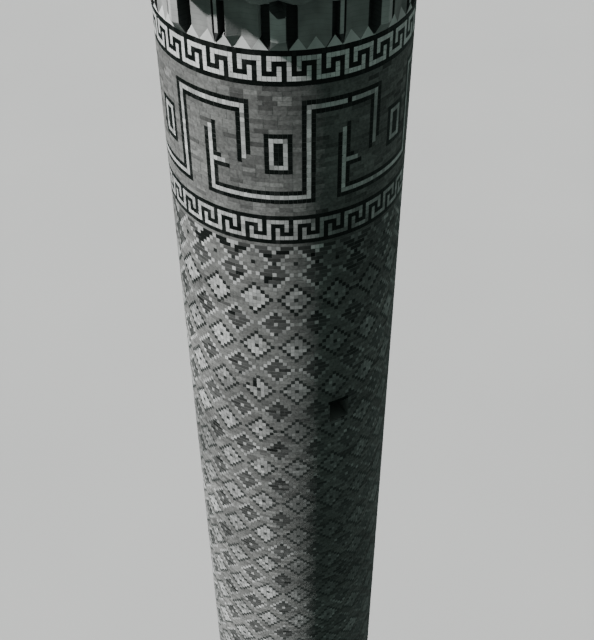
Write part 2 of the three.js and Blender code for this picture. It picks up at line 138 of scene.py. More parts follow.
def add_object(name, form, *finishes):
    """Turns a bmesh or a mesh into an object with its finishes."""
    mesh = form
    if isinstance(form, bmesh.types.BMesh):
        mesh = bpy.data.meshes.new(name)
        form.to_mesh(mesh)
        form.free()
    for finish in finishes:
        mesh.materials.append(finish)
    thing = bpy.data.objects.new(name, mesh)
    bpy.context.collection.objects.link(thing)
    return thing


def add_stage(name, form, finish):
    """Adds a piece of the studio. It throws no light on the tower and isn't reflected in it."""
    thing = add_object(name, form, finish)
    thing.visible_diffuse = False
    thing.visible_glossy = False
    return thing


finish, shader, place = new_finish("studio_floor")
surface(shader, tint(speckle(place, FLOOR_PATCH, 2.0), FLOOR_DARK, FLOOR_PALE), 0.95)
form = bmesh.new()
bmesh.ops.create_grid(form, x_segments=8, y_segments=8, size=FLOOR_HALF)
add_stage("studio_floor", form, finish)

finish, shader, place = new_finish("studio_backdrop")
feed(shader.inputs["Base Color"], (0.0, 0.0, 0.0))
feed(shader.inputs["Emission Color"], BACKDROP_GLOW)
shader.inputs["Emission Strength"].default_value = 1.0
form = bmesh.new()
bmesh.ops.create_uvsphere(form, u_segments=64, v_segments=32, radius=BACKDROP_RADIUS)
add_stage("studio_backdrop", form, finish).visible_shadow = False

for name, (azimuth, elevation, strength, softness) in LAMPS.items():
    lamp = bpy.data.lights.new(name, "SUN")
    lamp.energy = strength
    lamp.angle = math.radians(softness)
    turn, lift = math.radians(azimuth), math.radians(elevation)
    source = Vector((
        math.sin(turn) * math.cos(lift),
        -math.cos(turn) * math.cos(lift),
        math.sin(lift),
    ))
    lamp_object = bpy.data.objects.new(name, lamp)
    lamp_object.matrix_world = source.to_track_quat("Z", "Y").to_matrix().to_4x4()
    bpy.context.collection.objects.link(lamp_object)
surround = bpy.data.worlds.new("surround")
surround.use_nodes = True
background = surround.node_tree.nodes["Background"]
feed(background.inputs["Color"], SURROUND_COLOUR)
background.inputs["Strength"].default_value = SURROUND_STRENGTH
bpy.context.scene.world = surround


# Plinth walls. The octagon at the foot is buff brick in lime mortar, laid in running bond
# with half bats at its corners, on a course of squared stones. The mortar is the wall itself.
COURSE = 0.060
BRICK_HEIGHT = 0.0555
BRICK_LENGTH = 0.214
HEAD_JOINT = 0.0035
ARRIS = 0.0007
BRICK_PROUD = 0.0015
FACES = 8
FACE_TURN = 360.0 / FACES
MITRE = math.tan(math.radians(FACE_TURN / 2))
PLINTH_APOTHEM = 1.95
PLINTH_TOP = 2.4
BASE_COURSE = 0.30
DOOR_HALF, DOOR_SPRINGING, DOOR_RISE = 0.40, 1.45, 0.48
WELL_RADIUS = 1.086


def remap(value, low, high, out_low=0.0, out_high=1.0):
    """Stretches the range low to high over out_low to out_high, and stops at its ends."""
    stretch = add_node(value, "MapRange")
    feed(stretch.inputs["Value"], value)
    for socket, number in zip(stretch.inputs[1:5], (low, high, out_low, out_high)):
        socket.default_value = number
    return stretch.outputs["Result"]


def calculate(how, first, second=0.0):
    """One sum on two numbers."""
    sum_node = add_node(first, "Math")
    sum_node.operation = how
    feed(sum_node.inputs[0], first)
    feed(sum_node.inputs[1], second)
    return sum_node.outputs[0]


def multiply(colour, shade):
    """Darkens or lightens a colour by a number."""
    return tint(1.0, colour, shade, "MULTIPLY")


def roughen(shader, height, depth):
    """Raises and lowers the surface by a height from 0 to 1, over depth metres."""
    relief = add_node(height, "Bump")
    relief.inputs["Strength"].default_value = 1.0
    relief.inputs["Distance"].default_value = depth
    feed(relief.inputs["Height"], height)
    feed(shader.inputs["Normal"], relief.outputs["Normal"])


mortar, shader, place = new_finish("lime_mortar")
sand = speckle(place, 0.006, 4.0)
trowel = speckle(place, 0.12, 3.0)
damp = speckle(place, 1.3, 3.0, (1.0, 1.0, 0.4))
shade = tint(remap(trowel, 0.3, 0.7), (0.19, 0.19, 0.185), (0.27, 0.27, 0.262))
shade = tint(remap(damp, 0.4, 0.75, 0.0, 0.5), shade, (0.13, 0.13, 0.127))
surface(shader, shade, 0.95)
roughen(shader, calculate("ADD", sand, trowel), 0.002)


def brick_finish(name, dark, pale, roughness, grain, chips=None, mottling=0.14):
    """Fired brick: a tone of its own for each brick, mottled, streaked, and chipped if glazed."""
    finish, shader, place = new_finish(name)
    tone = add_node(place, "Attribute")
    tone.attribute_name = "tone"
    colour = tint(tone.outputs["Fac"], dark, pale)
    mottle = remap(speckle(place, 0.035, 4.0), 0.25, 0.75,
                   1.0 - 1.1 * mottling, 1.0 + 0.9 * mottling)
    streak = speckle(place, 0.5, 4.0, (1.0, 1.0, 0.3))
    streak = remap(streak, 0.3, 0.75, 1.06, 0.86)
    shade = calculate("MULTIPLY", mottle, streak)
    colour = multiply(colour, shade)
    pits = speckle(place, 0.007, 5.0)
    gloss = roughness
    if chips:
        worn = speckle(place, 0.022, 5.0)
        worn = remap(worn, 0.66, 0.70)
        colour = tint(worn, colour, chips)
        gloss = remap(worn, 0.0, 1.0, roughness, 0.9)
    surface(shader, colour, gloss)
    shader.inputs["Diffuse Roughness"].default_value = 1.0
    shader.inputs["Specular IOR Level"].default_value = 0.3
    roughen(shader, pits, grain)
    return finish


buff = brick_finish("buff_brick", (0.095, 0.095, 0.092), (0.285, 0.285, 0.276), 0.92, 0.0016,
                    mottling=0.34)


def finish_nodes(finish, *starts):
    """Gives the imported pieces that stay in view, named by how their names start, their finish."""
    for name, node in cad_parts.items():
        if name.startswith(starts):
            node.material_slots[0].material = finish


finish_nodes(mortar, "plinth_wall", "door_")


def add_piece(name, form, finishes, slot, *replaced):
    """Adds a piece of the tower, which rides on its one body."""
    piece = add_object(name, form, *(finishes if isinstance(finishes, tuple) else (finishes,)))
    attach(piece, "root")
    if replaced:
        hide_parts(*replaced)


def brick_form(bent):
    """A unit brick's corners and sides. A long one on a round wall bends at its middle."""
    form = bmesh.new()
    bmesh.ops.create_cube(form, size=2.0)
    if bent:
        bmesh.ops.bisect_plane(form, geom=form.verts[:] + form.edges[:] + form.faces[:],
                               plane_co=(0, 0, 0), plane_no=(1, 0, 0))
    form.verts.index_update()
    corners = np.array([corner.co[:] for corner in form.verts])
    sides = np.array([[corner.index for corner in side.verts] for side in form.faces])
    form.free()
    return corners, sides


BRICK_DEPTH = 0.014
FACE_ERROR, BED_ERROR, SHORTEST = 0.0004, 0.0006, 0.988
MIDDLE_TONE, TONE_SPREAD = 0.5, 0.20
BATCH_SIZE, BATCH_DRIFT = 0.9, 0.36
LONG_BRICK = 0.12
LEAST_BRICK = 0.02
HALF_LENGTH, HALF_HEIGHT, DEPTH, TONE, BEND = range(9, 14)
chance = random.Random(4)


def place_brick(point, right, up, length, height, depth=BRICK_DEPTH, tone=MIDDLE_TONE,
                radius=0.0, spread=TONE_SPREAD):
    """One brick as a row of numbers: its face's middle, its two axes, then the five named above.
    Its tone drifts with its neighbours', as it does in batches from one firing."""
    out = right.cross(up)
    middle = (point + out * chance.uniform(-FACE_ERROR, FACE_ERROR)
              + up * chance.uniform(-BED_ERROR, BED_ERROR))
    length *= chance.uniform(SHORTEST, 1.0)
    tone += chance.gauss(0.0, spread) + BATCH_DRIFT * noise.noise(point / BATCH_SIZE)
    bend = 0.5 / radius if radius else 0.0
    return (*middle, *right, *up, length / 2, height / 2, depth, min(max(tone, 0.0), 1.0), bend)


def brick_blocks(rows, bent):
    """The corners, sides and tones of many bricks, from their rows of numbers."""
    corners, sides = brick_form(bent)
    middle, right, up = rows[:, None, 0:3], rows[:, None, 3:6], rows[:, None, 6:9]
    half_length, half_height, depth, bend = (
        rows[:, column, None] for column in (HALF_LENGTH, HALF_HEIGHT, DEPTH, BEND))
    on_face = corners[:, 1] < 0
    eased = np.where(on_face, ARRIS, 0.0)
    along = corners[:, 0] * (half_length - eased)
    rise = corners[:, 2] * (half_height - eased)
    back = np.where(on_face, 0.0, depth) + bend * along ** 2
    points = middle + right * along[..., None] + up * rise[..., None]
    points = points - np.cross(right, up) * back[..., None]
    sides = sides[None] + len(corners) * np.arange(len(rows))[:, None, None]
    return points.reshape(-1, 3), sides.reshape(-1, 4), np.repeat(rows[:, TONE], len(corners))


def lay_bricks(name, bricks, finish, slot):
    """Joins many placed bricks in one piece. Each is a block with its face's arrises eased."""
    rows = np.array(bricks)
    long = (rows[:, BEND] > 0) & (rows[:, HALF_LENGTH] > LONG_BRICK / 2)
    points, sides, tones = brick_blocks(rows[~long], False)
    if long.any():
        more_points, more_sides, more_tones = brick_blocks(rows[long], True)
        sides = np.concatenate((sides, more_sides + len(points)))
        points = np.concatenate((points, more_points))
        tones = np.concatenate((tones, more_tones))
    mesh = bpy.data.meshes.new(name)
    mesh.vertices.add(len(points))
    mesh.vertices.foreach_set("co", points.ravel())
    mesh.loops.add(sides.size)
    mesh.loops.foreach_set("vertex_index", sides.ravel())
    mesh.polygons.add(len(sides))
    mesh.polygons.foreach_set("loop_start", np.arange(0, sides.size, 4))
    mesh.update(calc_edges=True)
    mesh.shade_flat()
    mesh.attributes.new("tone", "FLOAT", "POINT").data.foreach_set("value", tones)
    add_piece(name, mesh, finish, slot)


def clear_of(start, end, holes, least=LEAST_BRICK):
    """What is left of a run of brick once the holes are cut from it."""
    runs = [(start, end)]
    for hole_start, hole_end in holes:
        kept = []
        for a, b in runs:
            kept += [(a, min(b, hole_start)), (max(a, hole_end), b)]
        runs = [(a, b) for a, b in kept if b - a > least]
    return runs


def bond(start, end, course, length=BRICK_LENGTH + HEAD_JOINT):
    """The head joints of a course in running bond, each course half a brick on from the last."""
    joints = [start]
    joint = start + (length if course % 2 else length / 2)
    while joint < end - length / 4:
        joints.append(joint)
        joint += length
    return list(zip(joints, joints[1:] + [end]))


def arch_half_width(height, half, rise, ring):
    """Half the width of a pointed arch with a ring of bricks round it, at a height over it."""
    offset = (rise * rise - half * half) / (2 * half)
    outer = half + offset + ring
    if height >= math.sqrt(outer * outer - offset * offset):
        return 0.0
    return math.sqrt(outer * outer - max(height, 0.0) ** 2) - offset


def face_axes(azimuth):
    """The right-hand and outward directions of a wall at an azimuth."""
    turn = math.radians(azimuth)
    return (Vector((math.cos(turn), math.sin(turn), 0.0)),
            Vector((math.sin(turn), -math.cos(turn), 0.0)))


UP = Vector((0.0, 0.0, 1.0))
ARCH_RING, RING_CLEAR = 0.214, 0.004
plinth_bricks = []
face_half = PLINTH_APOTHEM * MITRE
for face in range(FACES):
    right, out = face_axes(FACE_TURN * face)
    for course in range(round((PLINTH_TOP - BASE_COURSE) / COURSE)):
        z = BASE_COURSE + (course + 0.5) * COURSE
        holes = []
        if face == 0:
            gap = DOOR_HALF
            if z > DOOR_SPRINGING:
                gap = arch_half_width(z - DOOR_SPRINGING, DOOR_HALF, DOOR_RISE,
                                      ARCH_RING + RING_CLEAR)
            holes = [(-gap, gap)] if gap > 0 else []
        for a, b in bond(-face_half, face_half, course + face):
            for start, end in clear_of(a, b, holes):
                point = out * (PLINTH_APOTHEM + BRICK_PROUD) + right * (start + end) / 2 + UP * z
                plinth_bricks.append(
                    place_brick(point, right, UP, end - start - HEAD_JOINT, BRICK_HEIGHT))
lay_bricks("plinth_brickwork", plinth_bricks, buff, "brick")


# Door arch. The pointed head of the doorway is a ring of buff bricks on edge, their ends
# showing, struck from two centres and closed by a key brick at the crown.
RING_JOINT, RING_TONE = 0.007, 0.62
DOOR_RING_PROUD = 0.007
SOFFIT_TONE = 0.6
WELL_CLEAR, FACE_CLEAR = 0.004, 0.003


def arch_ring(azimuth, radius, springing, half, rise, ring, thickness, proud, curved=True,
              facing=1):
    """The bricks of a pointed arch, on a flat face or on either face of a round wall."""
    offset = (rise * rise - half * half) / (2 * half)
    middle_radius = half + offset + ring / 2
    crown = math.atan2(rise, offset) - 0.5 * thickness / middle_radius
    count = max(2, round(middle_radius * crown / thickness))
    bricks = []
    for side in (1, -1):
        for k in range(count):
            turn = crown * (k + 0.5) / count
            x = side * (middle_radius * math.cos(turn) - offset)
            z = springing + middle_radius * math.sin(turn)
            bricks.append((x, z, turn if side > 0 else math.pi - turn))
    crown_height = math.sqrt(middle_radius ** 2 - offset * offset)
    bricks.append((0.0, springing + crown_height, math.pi / 2))
    placed = []
    for x, z, turn in bricks:
        here = azimuth + (facing * math.degrees(x / radius) if curved else 0.0)
        right, out = face_axes(here)
        right *= facing
        point = out * (radius + facing * proud) + UP * z + (Vector() if curved else right * x)
        along = right * math.cos(turn) + UP * math.sin(turn)
        side_on = UP * math.cos(turn) - right * math.sin(turn)
        placed.append(place_brick(point, along, side_on, ring, thickness - RING_JOINT,
                                  tone=RING_TONE))
    return placed


def reveal_bricks(azimuth, inner, outer, half, foot, springing, rise, curved=True):
    """The bricks of an opening's two cheeks and of the soffit of its arch, from face to well."""
    right, out = face_axes(azimuth)
    offset = (rise * rise - half * half) / (2 * half)
    arc_radius = half + offset
    crown = math.atan2(rise, offset)
    courses = round((springing - foot) / COURSE)
    arch_courses = round(arc_radius * crown / COURSE)
    placed = []

    def lay_line(course, side, x, middle, up, height, tone=MIDDLE_TONE):
        face = math.sqrt(outer * outer - x * x) if curved else outer
        well = math.sqrt(inner * inner - x * x) + WELL_CLEAR
        for a, b in bond(well, face - FACE_CLEAR, course):
            placed.append(place_brick(middle + out * (a + b) / 2, out * side, up,
                                      b - a - HEAD_JOINT, height, tone=tone))

    for side in (1, -1):
        for course in range(courses):
            z = foot + (course + 0.5) * (springing - foot) / courses
            cheek = right * side * (half - BRICK_PROUD) + UP * z
            lay_line(course, side, half, cheek, UP, BRICK_HEIGHT)
        for course in range(arch_courses):
            turn = crown * (course + 0.5) / arch_courses
            reach = arc_radius - BRICK_PROUD
            x = reach * math.cos(turn) - offset
            soffit = right * side * x + UP * (springing + reach * math.sin(turn))
            up = UP * math.cos(turn) - right * side * math.sin(turn)
            height = arc_radius * crown / arch_courses - RING_JOINT
            lay_line(course, side, x, soffit, up, height, SOFFIT_TONE)
    return placed


door_bricks = arch_ring(0.0, PLINTH_APOTHEM, DOOR_SPRINGING, DOOR_HALF, DOOR_RISE, ARCH_RING,
                        COURSE, DOOR_RING_PROUD, curved=False)
door_bricks += reveal_bricks(0.0, WELL_RADIUS, PLINTH_APOTHEM, DOOR_HALF, 0.0, DOOR_SPRINGING,
                             DOOR_RISE, curved=False)
lay_bricks("door_arch_bricks", door_bricks, buff, "brick")


# Foot stones. One course of squared grey stones goes round the foot, a little proud of the
# brick, butted with thin joints and mitred at the corners. It stops at the doorway.
STONE_PROUD, STONE_TAIL = 0.012, 0.05
STONE_JOINT, STONE_BED, STONE_ARRIS = 0.006, 0.008, 0.006
EVEN_FACE_JOINTS, ODD_FACE_JOINTS = (-0.30, 0.28), (-0.46, 0.05, 0.49)
stone, shader, place = new_finish("grey_stone")
veins = speckle(place, 0.09, 6.0)
weather = speckle(place, 0.7, 4.0)
stone_colour = tint(remap(veins, 0.3, 0.7), (0.13, 0.13, 0.127), (0.22, 0.22, 0.213))
stone_colour = tint(remap(weather, 0.5, 0.75, 0.0, 0.6), stone_colour,
                    (0.097, 0.097, 0.094))
surface(shader, stone_colour, 0.88)
roughen(shader, calculate("ADD", veins, speckle(place, 0.01, 4.0)), 0.0025)


def add_block(form, points, easing):
    """Adds a six-sided stone with rounded arrises. Points: four round its foot, four on top."""
    made = bmesh.ops.create_cube(form, size=2.0)["verts"]
    for corner in made:
        x, y, z = corner.co
        corner.co = points[(0 if y < 0 else 2) + (1 if x > 0 else 0) + (0 if z < 0 else 4)]
    form.normal_update()
    edges = {edge for corner in made for edge in corner.link_edges}
    bmesh.ops.bevel(form, geom=list(edges), offset=easing, segments=2, profile=0.5,
                    affect="EDGES", material=-1, clamp_overlap=True)


foot_stones = bmesh.new()
for face in range(FACES):
    right, out = face_axes(FACE_TURN * face)
    outer_half = (PLINTH_APOTHEM + STONE_PROUD) * MITRE
    breaks = ODD_FACE_JOINTS if face % 2 else EVEN_FACE_JOINTS
    if face == 0:
        breaks = (-DOOR_HALF, DOOR_HALF)
    joints = (-outer_half, *breaks, outer_half)
    for a, b in zip(joints, joints[1:]):
        if face == 0 and a == -DOOR_HALF:
            continue
        corners = []
        for z in (0.0, BASE_COURSE - STONE_BED):
            for reach in (PLINTH_APOTHEM + STONE_PROUD, PLINTH_APOTHEM - STONE_TAIL):
                limit = reach * MITRE
                for x, inset in ((a, STONE_JOINT / 2), (b, -STONE_JOINT / 2)):
                    x = min(max(x + inset, -limit), limit)
                    corners.append(out * reach + right * x + UP * z)
        add_block(foot_stones, corners, STONE_ARRIS)
add_piece("foot_stones", foot_stones, stone, "stone")


# Ground floor. A bed of worn stone flags inside the foot of the well, seen only through the
# doorway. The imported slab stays, and its finish carries the joints between the flags.
FLAG_LENGTH, FLAG_WIDTH, FLAG_JOINT = 0.42, 0.33, 0.006
flags, shader, place = new_finish("stone_flags")
paving = add_node(place, "TexBrick")
for socket, value in (("Vector", place), ("Scale", 1.0), ("Brick Width", FLAG_LENGTH),
                      ("Row Height", FLAG_WIDTH), ("Mortar Size", FLAG_JOINT),
                      ("Mortar Smooth", 0.3), ("Bias", 0.0), ("Color1", (0.125, 0.122, 0.113)),
                      ("Color2", (0.19, 0.182, 0.17)), ("Mortar", (0.056, 0.053, 0.05))):
    feed(paving.inputs[socket], value)
wear = remap(speckle(place, 0.3, 5.0), 0.3, 0.7, 0.75, 1.1)
surface(shader, multiply(paving.outputs["Color"], wear), 0.8)
roughen(shader, calculate("SUBTRACT", wear, paving.outputs["Fac"]), 0.004)
finish_nodes(flags, "ground_floor")


# Plinth cap. Thirty-two sloping slabs of dressed stone shed the rain from the octagon's
# shoulder. They run from the drip edge up to the round shaft and are bedded in mortar.
CAP_DRIP, CAP_SHOULDER = 2.52, 2.7
CAP_OUTER, CAP_INNER = 2.004, 1.556
CAP_SLABS, CAP_GAP = 32, 0.09
CAP_BED, CAP_THICKNESS, DRIP_PROUD, SHOULDER_PROUD = 0.004, 0.1, 0.003, 0.004
CAP_SECTION = (
    (CAP_OUTER, PLINTH_TOP + CAP_BED), (CAP_INNER, CAP_SHOULDER - CAP_THICKNESS),
    (CAP_OUTER, CAP_DRIP + DRIP_PROUD), (CAP_INNER, CAP_SHOULDER + SHOULDER_PROUD),
)


def stone_ring(count, gap, section, easing, eaves=0.0):
    """A ring of stones. The section says how far out and how high the underside and the top of
    each are, and what is as far out as the eaves follows the octagon."""
    form = bmesh.new()
    step = 360.0 / count
    for k in range(count):
        corners = []
        for radius, z in section:
            for azimuth in (k * step + gap, (k + 1) * step - gap):
                _, out = face_axes(azimuth)
                from_face = math.radians((azimuth + FACE_TURN / 2) % FACE_TURN - FACE_TURN / 2)
                reach = radius / math.cos(from_face) if radius == eaves else radius
                corners.append(out * reach + UP * z)
        add_block(form, corners, easing)
    return form


cap_slabs = stone_ring(CAP_SLABS, CAP_GAP, CAP_SECTION, STONE_ARRIS, CAP_OUTER)
add_piece("plinth_cap_slabs", cap_slabs, stone, "stone")
finish_nodes(mortar, "plinth_cap")


# Shaft. The facing is laid by a grid of 180 brick heads round the shaft. White glazed lozenges
# and dark glazed lozenges alternate on buff brick, course by course, with black and white
# heads dotted along their edges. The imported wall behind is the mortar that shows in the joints.
SHAFT_RADIUS = 1.536
DATUM = 20.430
CELLS = 180
CELL_TURN = 360.0 / CELLS
FIRST_CELL = 3.53
LAST_AZIMUTH = 200.0  # where a course's azimuths start again at -160
REPEAT_CELLS, REPEAT_ROWS = 10, 14
HALF_CELLS, HALF_ROWS = REPEAT_CELLS // 2, REPEAT_ROWS // 2
LOZENGE_REACH = 4
FIELD_TOP_ROW, FIELD_FOOT_ROW = -15, 295
MIRROR_ROW = FIELD_TOP_ROW + FIELD_FOOT_ROW
LIFT_JOINT_ROW = 140
CUT_COURSE_HEIGHT, CUT_COURSE_RISE = 0.041, 0.0225
LIGHT_HALF_WIDTH, LIGHT_HALF_HEIGHT = 0.15, 0.192
LINTEL_DROP = 0.02
STAIR_LIGHTS = (  # azimuth, course
    (27.0, 37.4), (180.0, 84.0), (270.0, 126.0), (0.0, 176.0), (90.0, 222.0),
)
white = brick_finish("white_glazed_brick", (0.18, 0.18, 0.176), (0.90, 0.90, 0.89), 0.40, 0.0005,
                     (0.19, 0.19, 0.184))
black = brick_finish("black_glazed_brick", (0.0045, 0.0062, 0.0055), (0.052, 0.055, 0.053), 0.40,
                     0.0005, (0.05, 0.05, 0.048))
dark_glaze = brick_finish("dark_glazed_brick", (0.011, 0.011, 0.0105), (0.129, 0.129, 0.126), 0.36,
                         0.0005, (0.10, 0.10, 0.097))
# Dark bedding: the dark mortar of the narrow bands, and the sheets laid for lost and blackened heads,
# which are painted shade in a lost head's gap.
dark_bed, shader, place = new_finish("dark_bedding")
bed_speckle = speckle(place, 0.03, 4.0)
surface(shader, tint(bed_speckle, (0.004, 0.006, 0.005), (0.013, 0.016, 0.015)), 0.9)
shader.inputs["Specular IOR Level"].default_value = 0.2
roughen(shader, bed_speckle, 0.002)
finish_nodes(mortar, "shaft_")

# The transition under the bands, in rows of ten heads: b buff, D dark, W white, K black.
TOP_ROWS = {
    -14: "WDDDWWWDDD",
    -13: "bWDDDWDDDW",
    -12: "bbWDDDDDWb",
    -11: "bbbWDDDWbb",
    -10: "KbbbWKWbbb",
    -9: "bbbWDDDWbb",
    -8: "bbWDDDDDWb",
    -7: "bWDDDWDDDW",
    -6: "bbWDDDDDWb",
    -5: "bbbWDDDWbb",
}


def lozenge(across, rise, edge, inside, middle):
    """The colour a head has in a lozenge, or nothing outside of it."""
    steps = across + rise
    if steps > LOZENGE_REACH:
        return None
    if steps == LOZENGE_REACH:
        return edge
    return middle if steps == 0 else inside


def field_colour(cell, row):
    """The colour of one head of the lozenge field. The foot mirrors the top."""
    if row > MIRROR_ROW:
        row = MIRROR_ROW - row
    if row <= FIELD_TOP_ROW:
        return "b"
    if row in TOP_ROWS:
        return TOP_ROWS[row][cell % REPEAT_CELLS]
    across = abs((cell + HALF_CELLS) % REPEAT_CELLS - HALF_CELLS)
    rise = abs((row + HALF_ROWS) % REPEAT_ROWS - HALF_ROWS)
    found = lozenge(across, rise, "K", "W", "K")
    if found:
        return found
    across, rise = abs(cell % REPEAT_CELLS - HALF_CELLS), abs(row % REPEAT_ROWS - HALF_ROWS)
    found = lozenge(across, rise, "W", "D", "W")
    if found == "D" and across == 0 and rise == LOZENGE_REACH - 1:
        return "K"
    return found or "b"


TIGHT_JOINT, TIGHTER_BED = 0.0018, 0.0018
LOST_OVERLAP, LOST_PROUD = 0.002, 0.0006
DARK_HEAD_HEIGHT = 0.053
WHITE_SPREAD = 0.12
LEAST_TURN = 0.7
RUN_OFFSETS = (0, 1, 2, 2, 3)
HEADS = {  # the most heads in one brick, its joint, then the piece, finish and slot
    "b": (3, HEAD_JOINT, "buff_bricks", buff, "brick"),
    "W": (1, TIGHT_JOINT, "white_bricks", white, "white_glaze"),
    "K": (1, TIGHT_JOINT, "black_bricks", black, "black_glaze"),
    "D": (3, HEAD_JOINT, "dark_bricks", dark_glaze, "blue_glaze"),
    # A lost head is a dark sheet laid nearly flush: painted shade for the hollow it leaves.
    "lost": (1, -LOST_OVERLAP, "lost_heads", dark_bed, "mortar"),
}


def split_run(length, longest, offset):
    """Parts a run of heads into bricks, with the joints staggered."""
    if longest == 1:
        return [1] * length
    parts = []
    if length > longest and offset:
        parts.append(min(offset, length))
        length -= parts[0]
    while length > 0:
        part = min(longest, length)
        if length > longest and length - part == 1:
            part -= 1
        parts.append(part)
        length -= part
    return parts


def hole_spans(z, brick_half):
    """The spans of azimuth that the stair lights take at a height."""
    spans = []
    for azimuth, row in STAIR_LIGHTS:
        if abs(z - (DATUM - row * COURSE)) < LIGHT_HALF_HEIGHT + brick_half - LINTEL_DROP:
            half = math.degrees(math.asin(LIGHT_HALF_WIDTH / SHAFT_RADIUS))
            spans += [(azimuth - half + turn, azimuth + half + turn) for turn in (0, -360)]
    return spans


def from_front(cell):
    """The cell's number counted both ways from the front, so that left of it is negative."""
    return cell if cell < CELLS / 2 else cell - CELLS


def lay_round(kinds, z, height, store, tones):
    """One course of the round wall, from the colours of its 180 heads."""
    heights = {"D": DARK_HEAD_HEIGHT, "W": height + TIGHTER_BED, "K": height + TIGHTER_BED,
               "lost": COURSE}
    seam = next((i for i in range(CELLS) if kinds[i] != kinds[i - 1]), 0)
    spans = hole_spans(z, height / 2)
    cell = seam
    while cell < seam + CELLS:
        kind = kinds[cell % CELLS]
        run = 1
        while cell + run < seam + CELLS and kinds[(cell + run) % CELLS] == kind:
            run += 1
        longest, joint = HEADS[kind][:2]
        radius = SHAFT_RADIUS + (LOST_PROUD if kind == "lost" else BRICK_PROUD)
        for part in split_run(run, longest, chance.choice(RUN_OFFSETS)):
            start = FIRST_CELL + (cell - 0.5) * CELL_TURN
            start -= 360.0 if start > LAST_AZIMUTH else 0.0
            for a, b in clear_of(start, start + part * CELL_TURN, spans, LEAST_TURN):
                right, out = face_axes((a + b) / 2)
                store[kind].append(place_brick(
                    out * radius + UP * z, right, UP, math.radians(b - a) * SHAFT_RADIUS - joint,
                    heights.get(kind, height), tone=tones(from_front(cell % CELLS), kind),
                    radius=SHAFT_RADIUS, spread=WHITE_SPREAD if kind == "W" else TONE_SPREAD))
            cell += part


def lay_heads(store, before, after=""):
    """Joins the heads of each kind in one piece."""
    for kind, (_, _, piece, finish, slot) in HEADS.items():
        if store[kind]:
            lay_bricks(f"{before}_{piece}{after}", store[kind], finish, slot)


# Marks of age that the picture shows on the field, by course: heads lost beside one white
# lozenge, dark heads blackened near the top and over the stair light, and mended heads.
LOST_HEADS = {
    -14: (-23, -22, -21, -19, -18, -17),
    -13: (-24, -23, -22, -18, -17, -16, -14, -13, -12, -4, -3, -2),
    -12: (-26, -25, -24, -23, -14, -7, -6, 4),
    -11: (-25, -24),
    -6: (-14, -13, -7, -6),
    -5: (-7,),
    5: (-26,),
    6: (-17, -16),
    26: (-11,),
    27: (-11,),
    34: (9, 10, 11, 12, 13, 14),
}
MENDED_WHITE = {0: (-2, -1), 1: (-2, -1)}
MENDED_BUFF = {0: (-16, -14, -10), 1: (-13,), 2: (-12,), 26: (-12,), 27: (-12,),
               52: (-15, -10), 53: (-11, -9), 54: (-12,)}
MENDED_PALE = {-14: (4, 5, 6), -13: (5,)}
PALE_TONE = 0.95
FADE_ROWS = 60
# The white heads carry painted light: a painted sheen everywhere, and painted shade that starts nine
# cells left of the front and is full three cells left of it; both fade in over the ten rows above
# course 0.
PAINTED_SHADE_FROM, PAINTED_SHADE_CELLS, PAINTED_LIGHT_ROWS = -9, 6, 10.0
BUFF_FADE = 0.1
WHITE_TONE, WHITE_FADE, PAINTED_SHEEN_GAIN, PAINTED_SHADE_LOSS = 0.33, 0.2, 0.08, 0.28
BLACK_TOP_TONE, BLACK_FIELD_TONE, BLACK_FADE = 0.36, 0.42, 0.5


def field_tone(cell, row, kind):
    """A head's tone. Below the transition, painted sheen lightens the white heads on the lit side of
    the front and painted shade greys them on the shaded side. Over the first sixty courses the tones
    drift, and the buff and white heads darken downwards: painted shade against brighter-lit lower
    courses."""
    if cell in MENDED_PALE.get(row, ()):
        return PALE_TONE
    down = min(max(row, 0), FADE_ROWS) / FADE_ROWS
    painted_side_shade = min(max((cell - PAINTED_SHADE_FROM) / PAINTED_SHADE_CELLS, 0.0), 1.0)
    below = min(max(row / PAINTED_LIGHT_ROWS + 1.0, 0.0), 1.0)
    return {
        "b": MIDDLE_TONE - BUFF_FADE * down,
        "W": WHITE_TONE - WHITE_FADE * down + below * (PAINTED_SHEEN_GAIN - PAINTED_SHADE_LOSS * painted_side_shade),
        "K": BLACK_TOP_TONE if row < 0 else BLACK_FIELD_TONE + BLACK_FADE * down,
    }.get(kind, MIDDLE_TONE)


for lift, rows in (
    ("upper", range(FIELD_TOP_ROW, LIFT_JOINT_ROW + 1)),
    ("lower", range(LIFT_JOINT_ROW + 1, FIELD_FOOT_ROW + 1)),
):
    heads = {kind: [] for kind in HEADS}
    for row in rows:
        kinds = [field_colour(cell, row) for cell in range(CELLS)]
        for marks, kind in ((MENDED_WHITE, "W"), (MENDED_BUFF, "b"), (LOST_HEADS, "lost")):
            for cell in marks.get(row, ()):
                kinds[cell % CELLS] = kind
        height, z = BRICK_HEIGHT, DATUM - row * COURSE
        if row == FIELD_TOP_ROW:
            height, z = CUT_COURSE_HEIGHT, z - COURSE / 2 + CUT_COURSE_RISE
        lay_round(kinds, z, height, heads, lambda cell, kind, row=row: field_tone(cell, row, kind))
    lay_heads(heads, "shaft", f"_{lift}")


